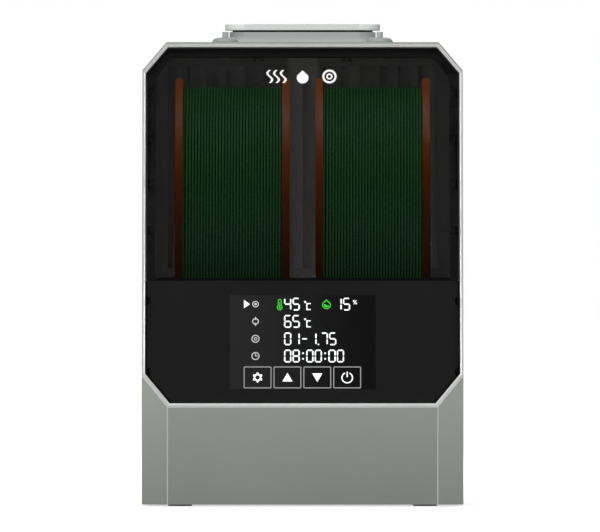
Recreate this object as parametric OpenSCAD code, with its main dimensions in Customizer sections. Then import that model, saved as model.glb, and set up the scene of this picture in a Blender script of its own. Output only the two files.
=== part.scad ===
// Two-spool filament dryer box: a base with a heated chamber, and a hinged lid with a smoked window.
// Millimetres. X to the right, front towards -Y, Z up. The origin is under the centre of the box.

/* [Housing] */
// Width of the housing
body_w = 215; // [211:1:225]
// Depth from the front of the base to the back of the hinge barrels
total_d = 277; // [275:1:285]
// Height of the lid's top face above the table
body_h = 311; // [310:0.2:314]
// Height of the parting line between base and lid
parting_z = 151; // [148:0.5:153]
// Height at which the vertical base front meets the sloping panel
sill_z = 65.9; // [64:0.1:67]
// Backward lean of the front panel, in degrees
lean = 15; // [14:0.25:16]
// Wall of the two outer shells
wall = 2.6; // [2.2:0.1:2.8]
// Width of the corner facets on the base front
facet_w = 17.2; // [15:0.1:18]
// Rise of the panel's lower corner cuts
facet_rise = 20.6; // [19:0.1:22]
// Width of the corner cuts along the top
top_cut_w = 16.1; // [15.6:0.1:18]
// Height of the corner cuts along the top
top_cut_h = 19; // [17:0.1:20]
// Height of the base above the table, on its feet
foot_gap = 1.2; // [1:0.1:2]

/* [Front trim] */
// Width of the trim along the bottom of the panel
trim_w = 3.1; // [2.6:0.1:3.4]
// Width of the trim along the top of the panel
trim_top_w = 2.1; // [1.9:0.1:2.6]
// Width of the trim along the sides
trim_side_w = 1.9; // [1.7:0.1:2.4]
// Thickness of the trim
trim_t = 4; // [3.8:0.1:4.2]
// Shadow gap between the trim and the dark panel
shadow_gap = 1.3; // [1:0.1:1.6]

/* [Display] */
// Width of the display lens
lens_w = 97.6; // [94:0.2:102]
// Height of the display lens along the slope
lens_h = 65.3; // [64:0.1:66]
// Distance from the sill to the lens, along the slope
lens_v = 12.9; // [12.5:0.1:13.5]

/* [Spools] */
// Diameter of a spool's flanges
spool_d = 200; // [198:0.5:200]
// Width of a spool over its flanges
spool_w = 76.9; // [74:0.1:77]
// Thickness of a flange
flange_t = 5; // [4:0.1:5]
// Diameter of the wound filament
winding_d = 187; // [150:1:190]
// Sideways distance from the centre of the box to the centre of a spool
spool_x = 47.2; // [47.1:0.1:47.6]
// Position of the spool axis from front to back
spool_y = 13; // [12:0.5:14]
// Height of the spool axis
spool_z = 187.7; // [187.2:0.1:188]
// Diameter of the hole through a spool
spool_bore_d = 53; // [50:1:56]
// Diameter of the rollers under the spools
roller_d = 20; // [18:0.5:20]

/* [Top] */
// Width of the vent neck
vent_w = 98.7; // [95:0.1:99]
// Front-to-back size of the vent neck
vent_d = 34; // [32:1:36]
// Front-to-back position of the vent
vent_y = 20; // [18:1:30]
// Sideways distance of the filament outlets
outlet_x = 52; // [50:0.5:54]
// Front-to-back position of the filament outlets
outlet_y = -32; // [-36:1:-28]
// Outer diameter of the outlet tubes
tube_d = 4.2; // [4:0.1:4.4]
// Bore of the outlet tubes
tube_bore_d = 2; // [1.9:0.1:2.2]

/* [Hidden] */
$fn = 64;

// Colours
silver = "#848882";
pale = "#cfd2d0";
black = "#1c1c1c";
board_green = "#1f4d33";
steel = "#9a9da0";
orange = "#b0501e";
filament_green = "#1e6b33";

// Housing
far = 400;                       // larger than the whole box, for cutting tools
half_w = body_w / 2;
front_y = -total_d / 2;
hinge_r = 4;
rear_y = total_d / 2 - hinge_r;
gap = 0.3;                       // open joint between the base and the lid
base_top = parting_z - gap / 2;
lid_bottom = parting_z + gap / 2;
facet_x = half_w - facet_w;
facet_y = front_y + facet_rise * tan(lean);
rear_cut = 4;
plan_pts = [[-facet_x, front_y], [facet_x, front_y], [half_w, facet_y],
    [half_w, rear_y - rear_cut], [half_w - rear_cut, rear_y],
    [rear_cut - half_w, rear_y], [-half_w, rear_y - rear_cut], [-half_w, facet_y]];
end_pts = [[-half_w, -far], [half_w, -far], [half_w, body_h - top_cut_h],
    [half_w - top_cut_w, body_h], [top_cut_w - half_w, body_h], [-half_w, body_h - top_cut_h]];

// Sloping panel, drawn flat: x across, y up the slope, z outwards
slope_low = facet_rise / cos(lean);
slope_high = (body_h - top_cut_h - sill_z) / cos(lean);
slope_top = (body_h - sill_z) / cos(lean);
panel_pts = [[-facet_x, 0], [facet_x, 0], [half_w, slope_low], [half_w, slope_high],
    [half_w - top_cut_w, slope_top], [top_cut_w - half_w, slope_top], [-half_w, slope_high],
    [-half_w, slope_low]];
trim_edge = [0.15, 0.15, 0.3, 0.8, 1.2, 0.8, 0.3, 0.15];
trim_band = [trim_w, trim_w, trim_side_w, trim_top_w, trim_top_w, trim_top_w, trim_side_w,
    trim_w];
trim_bevel = 1;
bevel_share = 0.45;              // part of the trim's width taken by its inner bevel
flange_step = 1.2;               // black flange behind the trim
pocket = trim_t + flange_step;
face_drop = 0.8;                 // dark panel below the trim's face
frame_depth = 6;                 // window frame's collar, behind the pocket
clip_low_v = [25, 74];
clip_high_z = [185.4, 216.2, 246.3, 277.8];
clip_w = 2;
clip_h = 4.6;
clip_play = 0.2;

// Chamber
tub_x = 98;
tub_front = -88;
tub_rear = 123;
tub_floor = 80;
tub_wall = 2;
rim_z = parting_z - 2.4;
rim_t = 2;
shelf_rear = -99;
liner_t = 1.6;
fit = 0.1;                       // face-to-face play between parts of one body

// Spools and rollers
spool_r = spool_d / 2;
roller_r = roller_d / 2;
roller_angle = 32;
roller_play = 0.3;
roller_reach = spool_r + roller_r + roller_play;
roller_w = 8.2;
roller_dy = roller_reach * sin(roller_angle);
roller_z = spool_z - roller_reach * cos(roller_angle);
roller_near_x = spool_x - spool_w / 2 + flange_t / 2;
roller_far_x = spool_x + spool_w / 2 - flange_t / 2;
shaft_r = 3;
shaft_in = 1;
shaft_out = 95.5;
bearing_r = 5;
bearing_w = 4;
bearing_near_x = 1.9;
block_x = 92;                    // centre of the outer bearing blocks
block_w = 5.4;
running = 0.05;                  // radial clearance of a running fit

// Hinges
hinge_x = 62;
hinge_len = 36;
hinge_gap = 0.4;
lid_knuckle = 11.6;
pin_r = 1.5;

// Under the chamber floor
duct_x = 36;
duct_front = -36;
duct_rear = 58;
duct_low = 8;
duct_t = 2;
vent_slot_w = 60;
vent_slot_d = 16;
outlet_slot_y = -24;
intake_slot_y = 44;
fan_size = 60;
fan_t = 15;
fan_y = 15;
fan_z = 42;
fan_bore_r = 28.5;
screw_x = 92;
screw_front = -118;
screw_rear = 118;
cover_t = 2.5;
cover_top = foot_gap + cover_t;
foot_r = 8;
foot_x = 82;
foot_front = -104;
foot_rear = 104;
inlet_x = 66;
inlet_z = 36;
board_x = -70;
board_y = 45;

// Top
neck_h = 7.7;
cap_low = body_h + 9;
cap_t = 4;
cap_over = 3;
stem_x = 30;
stem_r = 2;
collar_r = 8.9;
shank_r = 5.2;
collar_h = 3.5;
tube_top = 7.3;

// ---- outline helpers ----
function normal_in(a, b) = let (d = b - a) [-d.y, d.x] / norm(d);
// The point where two lines meet: p moved inwards by w1 along n1 and by w2 along n2
function meet(p, n1, w1, n2, w2) =
    let (c1 = n1 * p + w1, c2 = n2 * p + w2, det = n1.x * n2.y - n1.y * n2.x)
    [(c1 * n2.y - c2 * n1.y) / det, (n1.x * c2 - n2.x * c1) / det];
// Moves side i of a counter-clockwise outline inwards by w[i]
function inset(pts, w) = let (n = len(pts))
    [for (i = [0:n - 1])
        let (a = pts[(i + n - 1) % n], p = pts[i], b = pts[(i + 1) % n])
        meet(p, normal_in(a, p), w[(i + n - 1) % n], normal_in(p, b), w[i])];
function even(pts, w) = inset(pts, [for (p = pts) w]);
// Distance up the slope of a height on the panel's face
function slope_v(z) = (z - sill_z) / cos(lean);

module on_slope(out = 0) {
    translate([0, front_y, sill_z]) rotate([90 - lean, 0, 0]) translate([0, 0, out]) children();
}

// Keeps what lies between two heights
module slab(low, high) {
    intersection() {
        children();
        translate([-far, -far, low]) cube([2 * far, 2 * far, high - low]);
    }
}

// The housing's outer form, moved inwards by t
module envelope(t) {
    intersection() {
        translate([0, 0, -far / 8]) linear_extrude(far + far / 8) polygon(even(plan_pts, t));
        translate([0, far, 0]) rotate([90, 0, 0]) linear_extrude(2 * far) polygon(even(end_pts, t));
    }
}

// Everything in front of the panel's pocket, from depth down
module slope_cut(depth) {
    spread = 20;
    edge = spread * slope_low / facet_w;
    nick = 0.1;                  // keeps the cut's corner off the facet's own edge
    on_slope(-depth) linear_extrude(far) polygon([[nick - facet_x, nick], [facet_x - nick, nick],
        [half_w + spread, slope_low + edge], [half_w + spread, far], [-half_w - spread, far],
        [-half_w - spread, slope_low + edge]]);
}

module rounded_plate(w, d, h, r) {
    linear_extrude(h) union() {
        square([w - 2 * r, d], center = true);
        square([w, d - 2 * r], center = true);
        for (x = [r - w / 2, w / 2 - r], y = [r - d / 2, d / 2 - r])
            translate([x, y]) circle(r);
    }
}

module rod_x(r, from, to) {
    translate([from, 0, 0]) rotate([0, 90, 0]) cylinder(r = r, h = to - from);
}

// ---- hinges ----
module at_hinges() {
    for (x = [-hinge_x, hinge_x]) translate([x, rear_y, parting_z]) children();
}

// Clearance round the other half's barrels
module base_knuckle_room() {
    at_hinges() for (s = [-1, 1])
        translate([s * (hinge_len / 2 + lid_knuckle / 2) / 2, 0, 0])
            rod_x(hinge_r + hinge_gap, -(hinge_len - lid_knuckle) / 4 - hinge_gap,
                (hinge_len - lid_knuckle) / 4 + hinge_gap);
}

module lid_knuckle_room() {
    at_hinges() rod_x(hinge_r + hinge_gap, -lid_knuckle / 2 - hinge_gap, lid_knuckle / 2 + hinge_gap);
}

// A barrel with a gusset that runs to the rear wall, down (side = -1) or up (side = 1)
module knuckle(from, to, side) {
    rod_x(hinge_r, from, to);
    translate([from, 0, 0]) rotate([90, 0, 90]) linear_extrude(to - from)
        polygon([[-wall / 2, side * 0.5], [hinge_r * 0.9, side * 1.7], [0, side * 12],
            [-wall / 2, side * 12]]);
}

// ---- base ----
module boss(x, y) {
    translate([x, y, cover_top]) cylinder(r = 4.5, h = 16);
    translate([x > 0 ? x : -half_w + 1, y - 1, cover_top]) cube([half_w - abs(x) - 1, 2, 16]);
}

module base_shell() color(silver) {
    difference() {
        union() {
            difference() {
                slab(foot_gap, base_top) envelope(0);
                envelope(wall);
            }
            for (x = [-screw_x, screw_x], y = [screw_front, screw_rear]) boss(x, y);
            at_hinges() for (s = [-1, 1])
                knuckle(s > 0 ? lid_knuckle / 2 + hinge_gap : -hinge_len / 2,
                    s > 0 ? hinge_len / 2 : -lid_knuckle / 2 - hinge_gap, -1);
        }
        slope_cut(pocket);
        lid_knuckle_room();
        at_hinges() rod_x(pin_r + 0.02, -hinge_len, hinge_len);
        for (x = [-screw_x, screw_x], y = [screw_front, screw_rear])
            translate([x, y, 0]) cylinder(r = 1.5, h = 16);
        translate([inlet_x - 14, rear_y - 10, inlet_z - 10.2]) cube([28, 20, 20.4]);
    }
}

module bottom_cover() color(black) {
    slots = 9;
    difference() {
        union() {
            slab(foot_gap, cover_top) envelope(wall + fit);
            for (x = [board_x - 24, board_x + 24], y = [board_y - 56, board_y + 56])
                translate([x, y, cover_top]) cylinder(r = 3, h = 8.3);
        }
        for (x = [-screw_x, screw_x], y = [screw_front, screw_rear]) {
            translate([x, y, 0]) cylinder(r = 1.6, h = far);
            translate([x, y, 0]) cylinder(r = 3, h = foot_gap + 1.6);
        }
        for (x = [-foot_x, foot_x], y = [foot_front, foot_rear])
            translate([x, y, 0]) cylinder(r = foot_r + 0.05, h = foot_gap + 1.5);
        for (i = [0:slots - 1])
            translate([10 + i * 7, -95, 0]) cube([3, 40, far]);
    }
}

module feet() color("#202020") {
    for (x = [-foot_x, foot_x], y = [foot_front, foot_rear])
        translate([x, y, 0]) difference() {
            cylinder(r = foot_r, h = foot_gap + 1.5);
            translate([0, 0, -0.1]) cylinder(r = 3, h = 0.7);
        }
}

module bottom_screws() color(steel) {
    for (x = [-screw_x, screw_x], y = [screw_front, screw_rear])
        translate([x, y, foot_gap]) difference() {
            union() {
                translate([0, 0, 0.1]) cylinder(r = 2.9, h = 1.5);
                cylinder(r = 1.45, h = 13);
            }
            for (a = [0, 90]) rotate(a) translate([-1.6, -0.35, 0]) cube([3.2, 0.7, 0.9]);
        }
}

// ---- front trim and panels ----
module trim_ring() {
    outer = inset(panel_pts, trim_edge);
    inner = inset(outer, trim_band);
    crest = inset(outer, (1 - bevel_share) * trim_band);
    on_slope(-trim_t) difference() {
        linear_extrude(trim_t) polygon(outer);
        translate([0, 0, -1]) linear_extrude(trim_t + 2) polygon(inner);
        hull() {
            translate([0, 0, trim_t - trim_bevel]) linear_extrude(0.001) polygon(inner);
            translate([0, 0, trim_t]) linear_extrude(0.2) polygon(crest);
        }
    }
}

// A dark sheet in the trim, with its wider flange behind the trim
module panel_sheet(with_flange) {
    outer = inset(panel_pts, trim_edge);
    face = inset(outer, [for (w = trim_band) w + shadow_gap]);
    on_slope(-trim_t) linear_extrude(trim_t - face_drop) polygon(face);
    if (with_flange) on_slope(-pocket) linear_extrude(flange_step) polygon(even(panel_pts, 0.9));
}

module clip_places(play) {
    edge = half_w - trim_edge[2] - trim_side_w - shadow_gap;
    for (v = clip_low_v, s = [-1, 1])
        on_slope(-trim_t) translate([s * (edge - clip_w / 2), v, 0])
            translate([-clip_w / 2 - play, -clip_h / 2 - play, 0])
                cube([clip_w + 2 * play, clip_h + 2 * play, trim_t]);
    for (z = clip_high_z, s = [-1, 1])
        on_slope(-trim_t) translate([s * (edge - clip_w / 2), slope_v(z), 0])
            translate([-clip_w / 2 - play, -clip_h / 2 - play, 0])
                cube([clip_w + 2 * play, clip_h + 2 * play, trim_t]);
}

module lower_trim() color(pale) slab(0, base_top) trim_ring();

module control_panel() color(black) {
    slab(0, base_top) difference() {
        union() {
            panel_sheet(true);
            on_slope(-7.8) for (x = [-49, 49], v = [13, 76])
                translate([x, v, 0]) cylinder(r = 3, h = 3.8);
        }
        clip_places(clip_play);
        on_slope(-2.4) translate([-lens_w / 2 - 0.05, lens_v - 0.05, 0])
            cube([lens_w + 0.1, lens_h + 0.1, 5]);
        on_slope(-9) translate([-43.3, 31.3, 0]) cube([86.6, 44.4, 9]);
        on_slope(-9) translate([-42, 14.8, 0]) cube([84, 13, 9]);
        on_slope(-9) for (x = [-49, 49], v = [13, 76]) translate([x, v, 0]) cylinder(r = 1.1, h = 6);
    }
}

module panel_clips() color("#0c0c0c") {
    slab(0, base_top) difference() {
        clip_places(0);
        slope_cut(1.6);
    }
}

module display_lens() color("#202020")
    on_slope(-2.4) translate([-lens_w / 2, lens_v, 0]) cube([lens_w, lens_h, 1.65]);

module lcd_module() color("#30343a") {
    difference() {
        on_slope(-7.7) translate([-43, 31.6, 0]) cube([86, 43.8, 5.2]);
        on_slope(-3.2) translate([-40, 34.6, 0]) cube([80, 37.8, 2]);
    }
    on_slope(-4.5) translate([-40.2, 34.4, 0]) cube([80.4, 38.2, 1.1]);
}

module touch_springs() color(steel) {
    for (x = [-30, -10, 10, 30])
        on_slope(-7.7) translate([x, 21.2, 0]) {
            difference() {
                cylinder(r = 4.2, h = 5.2);
                translate([0, 0, -1]) cylinder(r = 3.4, h = 5.4);
            }
        }
}

module control_board() color(board_green) {
    difference() {
        union() {
            on_slope(-9.4) translate([-54, 9.5, 0]) cube([108, 70, 1.6]);
            on_slope(-12.4) translate([-9, 40, 0]) cube([18, 18, 3.1]);
            on_slope(-15.4) translate([-44, 34, 0]) cube([22, 8, 6.1]);
            on_slope(-15.4) translate([20, 34, 0]) cube([16, 8, 6.1]);
            on_slope(-16.4) translate([40, 60, 0]) cylinder(r = 5, h = 7.1);
            for (i = [0:5]) on_slope(-10.9) translate([-48 + 15 * i, 20, 0]) cube([5, 3, 1.6]);
        }
        on_slope(-10) for (x = [-49, 49], v = [13, 76]) translate([x, v, 0]) cylinder(r = 1.3, h = 3);
    }
}

module board_screws() color(steel) {
    for (x = [-49, 49], v = [13, 76])
        on_slope(-9.5) translate([x, v, 0]) {
            translate([0, 0, -1.5]) cylinder(r = 2.4, h = 1.5);
            cylinder(r = 1.05, h = 5);
        }
}

// ---- chamber ----
module bearing_block(x_from, x_to, y) {
    translate([x_from, y - 8, tub_floor - 1]) cube([x_to - x_from, 16, roller_z + 3 - tub_floor + 1]);
}

module bearing_slot(x_from, x_to, y, r) {
    translate([0, y, roller_z]) rod_x(r, x_from, x_to);
    translate([x_from, y - r, roller_z]) cube([x_to - x_from, 2 * r, 20]);
}

module chamber_tub() color(black) {
    roller_ys = [spool_y - roller_dy, spool_y + roller_dy];
    difference() {
        union() {
            slab(rim_z - rim_t, rim_z) envelope(wall + fit);
            translate([-tub_x - tub_wall, tub_front - tub_wall, tub_floor - tub_wall])
                cube([2 * (tub_x + tub_wall), tub_rear - tub_front + 2 * tub_wall,
                    rim_z - tub_floor + tub_wall]);
        }
        translate([-tub_x, tub_front, tub_floor]) cube([2 * tub_x, tub_rear - tub_front, far]);
        slope_cut(pocket + fit);
        base_knuckle_room();
        lid_knuckle_room();
        for (y = [outlet_slot_y, intake_slot_y])
            translate([-vent_slot_w / 2, y - vent_slot_d / 2, 0]) cube([vent_slot_w, vent_slot_d, far]);
    }
    for (y = roller_ys) difference() {
        union() {
            bearing_block(-6.4, 6.4, y);
            for (x = [-block_x, block_x]) bearing_block(x - block_w / 2, x + block_w / 2, y);
        }
        bearing_slot(bearing_near_x - 0.1, bearing_near_x + bearing_w + 0.1, y, bearing_r + 0.02);
        bearing_slot(-bearing_near_x - bearing_w - 0.1, 0.1 - bearing_near_x, y, bearing_r + 0.02);
        for (x = [-block_x, block_x])
            bearing_slot(x - bearing_w / 2 - 0.1, x + bearing_w / 2 + 0.1, y, bearing_r + 0.02);
        bearing_slot(-far / 2, far / 2, y, shaft_r + 0.5);
    }
}

module lid_gasket() color("#2a2a2a") {
    outer_x = 103;
    inner_x = 99.8;
    translate([0, 0, rim_z]) difference() {
        translate([-outer_x, -106.5, 0]) cube([2 * outer_x, 236.1, 2.35]);
        translate([-inner_x, -103.3, -1]) cube([2 * inner_x, 229.7, 5]);
    }
}

module roller_bearings() color(steel) {
    for (y = [spool_y - roller_dy, spool_y + roller_dy],
            x = [-block_x - bearing_w / 2, -bearing_near_x - bearing_w, bearing_near_x,
                block_x - bearing_w / 2])
        translate([0, y, roller_z]) difference() {
            rod_x(bearing_r, x, x + bearing_w);
            rod_x(shaft_r + running, x - 1, x + bearing_w + 1);
        }
}

module grille(y) color("#141414") {
    bars = 14;
    translate([-34, y - 10, tub_floor]) difference() {
        cube([68, 20, 1.6]);
        for (i = [0:bars - 1]) translate([5 + i * 4.25, 3, -1]) cube([2.4, 14, 4]);
    }
}

module intake_grille() grille(intake_slot_y);
module outlet_grille() grille(outlet_slot_y);

module air_duct() color("#3a3a38") {
    top = tub_floor - tub_wall - fit;
    difference() {
        translate([-duct_x, duct_front, duct_low]) cube([2 * duct_x, duct_rear - duct_front, top - duct_low]);
        translate([-duct_x + duct_t, duct_front + duct_t, duct_low + duct_t])
            cube([2 * (duct_x - duct_t), duct_rear - duct_front - 2 * duct_t, far]);
    }
    difference() {
        translate([-duct_x + 1, fan_y - 2, duct_low + 1]) cube([2 * duct_x - 2, 2, top - duct_low - 1]);
        translate([0, fan_y - 3, fan_z]) rotate([-90, 0, 0]) cylinder(r = fan_bore_r, h = 4);
        for (x = [-25, 25], z = [fan_z - 25, fan_z + 25])
            translate([x, fan_y - 3, z]) rotate([-90, 0, 0]) cylinder(r = 1.7, h = 4);
    }
}

module fan_frame() color("#181818") {
    hub_r = 13;
    difference() {
        translate([-fan_size / 2, fan_y + 0.1, fan_z - fan_size / 2]) cube([fan_size, fan_t, fan_size]);
        translate([0, fan_y - 1, fan_z]) rotate([-90, 0, 0]) cylinder(r = fan_bore_r, h = far);
        for (x = [-25, 25], z = [fan_z - 25, fan_z + 25])
            translate([x, fan_y - 1, z]) rotate([-90, 0, 0]) cylinder(r = 1.7, h = far);
    }
    translate([0, fan_y + fan_t - 2, fan_z]) rotate([-90, 0, 0]) {
        difference() {
            cylinder(r = hub_r, h = 2.1);
            translate([0, 0, -1]) cylinder(r = 1.5, h = 4);
        }
        for (a = [45:90:315]) rotate(a) translate([hub_r - 1, -1.5, 0])
            cube([fan_bore_r - hub_r + 2, 3, 2.1]);
    }
}

module fan_screws() color(steel) {
    for (x = [-25, 25], z = [fan_z - 25, fan_z + 25])
        translate([x, fan_y - 2, z]) rotate([-90, 0, 0]) {
            translate([0, 0, -2]) cylinder(r = 2.8, h = 1.95);
            translate([0, 0, -1]) cylinder(r = 1.6, h = 19.5);
            translate([0, 0, 17.2]) cylinder(r = 3, h = 1.6, $fn = 6);
        }
}

module fan_impeller() color("#222222") {
    blades = 7;
    translate([0, fan_y + 1.5, fan_z]) rotate([-90, 0, 0]) {
        difference() {
            cylinder(r = 12.5, h = 10.5);
            translate([0, 0, 2]) cylinder(r = 11, h = 9);
        }
        cylinder(r = 1.45, h = 12.5);
        intersection() {
            for (i = [0:blades - 1]) rotate(i * 360 / blades)
                translate([12, 0, 5.2]) rotate([38, 0, 0]) cube([17, 11, 1], center = false);
            difference() {
                cylinder(r = fan_bore_r - 0.8, h = 11);
                translate([0, 0, -1]) cylinder(r = 11.5, h = 14);
            }
        }
    }
}

module ptc_heater() color("#b5b8ba") {
    fins = 22;
    for (x = [-29, 26]) translate([x, -13, fan_z - 27]) cube([3, 14, 54]);
    for (z = [fan_z - 27, fan_z - 9.9, fan_z + 7.2, fan_z + 24])
        translate([-28, -13, z]) cube([56, 14, 3]);
    for (i = [0:fins - 1]) translate([-25 + i * 2.35, -12.5, fan_z - 26]) cube([0.6, 13, 52]);
}

module power_board() color(board_green) {
    translate([board_x, board_y, cover_top + 8.3]) {
        translate([-28, -60, 0]) cube([56, 120, 1.6]);
        translate([-16, -16, 1.5]) cube([32, 28, 24]);
        translate([-25, -52, 1.5]) cube([10, 44, 30]);
        for (y = [-46, -24]) translate([4, y, 1.5]) cylinder(r = 9, h = 30);
        translate([-24, 20, 1.5]) cube([20, 16, 16]);
        translate([2, 20, 1.5]) cube([20, 16, 16]);
        translate([-22, 46, 1.5]) cube([44, 10, 13]);
        translate([18, -8, 1.5]) cylinder(r = 5, h = 14);
    }
}

module power_inlet() color("#121212") {
    translate([inlet_x, rear_y, inlet_z]) difference() {
        union() {
            translate([-15.5, 0.05, -12]) cube([31, 2, 24]);
            translate([-13.8, -20, -10]) cube([27.6, 21, 20]);
        }
        translate([-12, -16, -8]) cube([24, 30, 16]);
    }
}

module inlet_pins() color(steel) {
    for (p = [[-7, 1.5], [0, -2.5], [7, 1.5]])
        translate([inlet_x + p.x - 1, rear_y - 26, inlet_z + p.y - 2]) {
            cube([2, 23, 4]);
        }
}

module humidity_sensor() color("#e4e4e0") {
    translate([0, tub_rear, 116]) difference() {
        translate([-8, -4.1, -11]) cube([16, 4, 22]);
        for (i = [0:4]) translate([-5, -5, -8 + i * 3.6]) cube([10, 3, 1.6]);
    }
}

module hinge_pins() color(steel) at_hinges() rod_x(pin_r, -hinge_len / 2 + 0.5, hinge_len / 2 - 0.5);

// ---- rollers ----
// side is -1 or 1 for left or right, row is -1 or 1 for front or rear
module roller_shaft(side, row) color(steel)
    translate([0, spool_y + row * roller_dy, roller_z])
        rod_x(shaft_r, side > 0 ? shaft_in : -shaft_out, side > 0 ? shaft_out : -shaft_in);

module roller_pair(side, row) color("#2b2b2b")
    for (x = [side * roller_near_x, side * roller_far_x])
        translate([x, spool_y + row * roller_dy, roller_z]) difference() {
            rod_x(roller_r, -roller_w / 2, roller_w / 2);
            rod_x(shaft_r + 0.02, -roller_w, roller_w);
            for (s = [0, 1]) mirror([s, 0, 0]) difference() {
                rod_x(roller_r - 2.5, roller_w / 2 - 1, roller_w);
                rod_x(shaft_r + 2, -roller_w, 2 * roller_w);
            }
        }

module roller_shaft_left_front() roller_shaft(-1, -1);
module roller_shaft_left_rear() roller_shaft(-1, 1);
module roller_shaft_right_front() roller_shaft(1, -1);
module roller_shaft_right_rear() roller_shaft(1, 1);
module rollers_left_front() roller_pair(-1, -1);
module rollers_left_rear() roller_pair(-1, 1);
module rollers_right_front() roller_pair(1, -1);
module rollers_right_rear() roller_pair(1, 1);

// ---- lid ----
module vent_well(grow) {
    translate([0, vent_y, body_h - 20])
        rounded_plate(vent_w - 12 + 2 * grow, vent_d - 12 + 2 * grow, 40, 5 + grow);
}

module outlet_holes() {
    for (x = [-outlet_x, outlet_x])
        translate([x, outlet_y, body_h - 20]) cylinder(r = shank_r + fit, h = 40);
}

module lid_shell() color(silver) {
    difference() {
        union() {
            difference() {
                slab(lid_bottom, far) envelope(0);
                slab(-far, far) envelope(wall);
            }
            at_hinges() knuckle(-lid_knuckle / 2, lid_knuckle / 2, 1);
        }
        slope_cut(pocket);
        base_knuckle_room();
        at_hinges() rod_x(pin_r + running, -hinge_len, hinge_len);
        vent_well(0.5);
        outlet_holes();
    }
}

module lid_liner() color(black) {
    ribs = 14;
    rib_pitch = 13.1;
    rib_r = 8.9;
    rib_out = 3.2;
    inner_rear = rear_y - wall - fit - liner_t;
    difference() {
        union() {
            difference() {
                slab(lid_bottom, far) envelope(wall + fit);
                envelope(wall + fit + liner_t);
            }
            difference() {
                slab(lid_bottom, lid_bottom + liner_t) envelope(wall + fit + 0.5);
                translate([-tub_x, -far, 0]) cube([2 * tub_x, far + tub_rear, far]);
            }
            for (i = [0:ribs - 1])
                translate([(i - (ribs - 1) / 2) * rib_pitch, 0, lid_bottom + 8]) intersection() {
                    translate([0, inner_rear + rib_r - rib_out, 0]) cylinder(r = rib_r, h = 138);
                    translate([-rib_r, inner_rear - rib_out - 1, -1]) cube([2 * rib_r, rib_out + 1.4, 140]);
                }
        }
        slope_cut(pocket + frame_depth + fit);
        translate([-far, -far, 0]) cube([2 * far, far + shelf_rear + fit, lid_bottom + liner_t + 1]);
        base_knuckle_room();
        lid_knuckle_room();
        vent_well(0.7);
        outlet_holes();
    }
}

module window_frame() color(black) {
    ledge = 9;
    outer = even(panel_pts, 0.9);
    opening = even(panel_pts, ledge);
    collar = even(panel_pts, wall + fit + 0.2);
    slab(lid_bottom, far) {
        difference() {
            union() {
                on_slope(-pocket) linear_extrude(flange_step) polygon(outer);
                on_slope(-pocket - frame_depth) linear_extrude(frame_depth + 0.5) polygon(collar);
            }
            on_slope(-pocket - 2 * frame_depth) linear_extrude(far) polygon(opening);
            on_slope(-pocket - 2 * frame_depth) linear_extrude(2 * frame_depth - 2)
                polygon(even(panel_pts, wall + fit + 2.2));
            clip_places(clip_play);
        }
        difference() {
            translate([-half_w + wall + 0.5, -120, lid_bottom - 1])
                cube([body_w - 2 * wall - 1, 120 + shelf_rear, 1 + liner_t]);
            slope_cut(pocket);
        }
    }
}

module window() color("#1e1e1e", 0.5) {
    slab(lid_bottom, far) difference() {
        panel_sheet(false);
        clip_places(clip_play);
    }
}

module window_clips() color("#0c0c0c") {
    slab(lid_bottom, far) difference() {
        clip_places(0);
        slope_cut(1.6);
    }
}

module upper_trim() color(pale) slab(lid_bottom, far) trim_ring();

// ---- outlets and vent ----
module outlet_collar(x) color("#9a9e9c") {
    well_r = 3.3;
    steps = 8;
    dome = [for (i = [0:steps]) let (a = 90 * i / steps)
        [well_r + 1.2 + (collar_r - well_r - 1.2) * cos(a), collar_h * sin(a)]];
    translate([x, outlet_y, body_h]) rotate_extrude()
        polygon(concat([[tube_d / 2 + 0.02, -9], [shank_r, -9], [shank_r, 0]], dome,
            [[well_r, collar_h - 0.5], [well_r, 0.6], [tube_d / 2 + 0.02, 0.6]]));
}

module outlet_tube(x) color("#d8dad8")
    translate([x, outlet_y, body_h]) difference() {
        translate([0, 0, -11]) cylinder(d = tube_d, h = 11 + tube_top);
        translate([0, 0, -12]) cylinder(d = tube_bore_d, h = 13 + tube_top);
    }

module outlet_collar_left() outlet_collar(-outlet_x);
module outlet_collar_right() outlet_collar(outlet_x);
module outlet_tube_left() outlet_tube(-outlet_x);
module outlet_tube_right() outlet_tube(outlet_x);

module vent_neck() color("#a8acad") {
    difference() {
        translate([0, vent_y, body_h]) rounded_plate(vent_w, vent_d, neck_h, 11);
        vent_well(0);
    }
    for (x = [-stem_x, stem_x]) difference() {
        translate([x - 5, vent_y - vent_d / 2 + 4, body_h + 1]) cube([10, vent_d - 8, 4]);
        translate([x, vent_y, body_h]) cylinder(r = stem_r + running, h = 10);
    }
}

module vent_cap() color("#b8bcba") {
    translate([0, vent_y, cap_low]) difference() {
        rounded_plate(vent_w + 2 * cap_over, vent_d + 2 * cap_over, cap_t, 14);
        for (s = [-1, 1]) translate([s * stem_x, 0, -1]) cylinder(r = stem_r + 0.02, h = 2.5);
    }
}

module vent_seal() color("#101010") {
    translate([0, vent_y, body_h + neck_h + 0.1]) difference() {
        rounded_plate(vent_w - 4, vent_d - 4, 1.1, 9);
        translate([0, 0, -1]) rounded_plate(vent_w - 11, vent_d - 11, 4, 6);
    }
}

module vent_stems() color(steel) {
    for (x = [-stem_x, stem_x]) translate([x, vent_y, 0]) {
        translate([0, 0, body_h - 12]) cylinder(r = stem_r, h = cap_low - body_h + 12 + 1.4);
        translate([0, 0, body_h - 12]) cylinder(r = 3.6, h = 1.5);
    }
}

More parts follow.
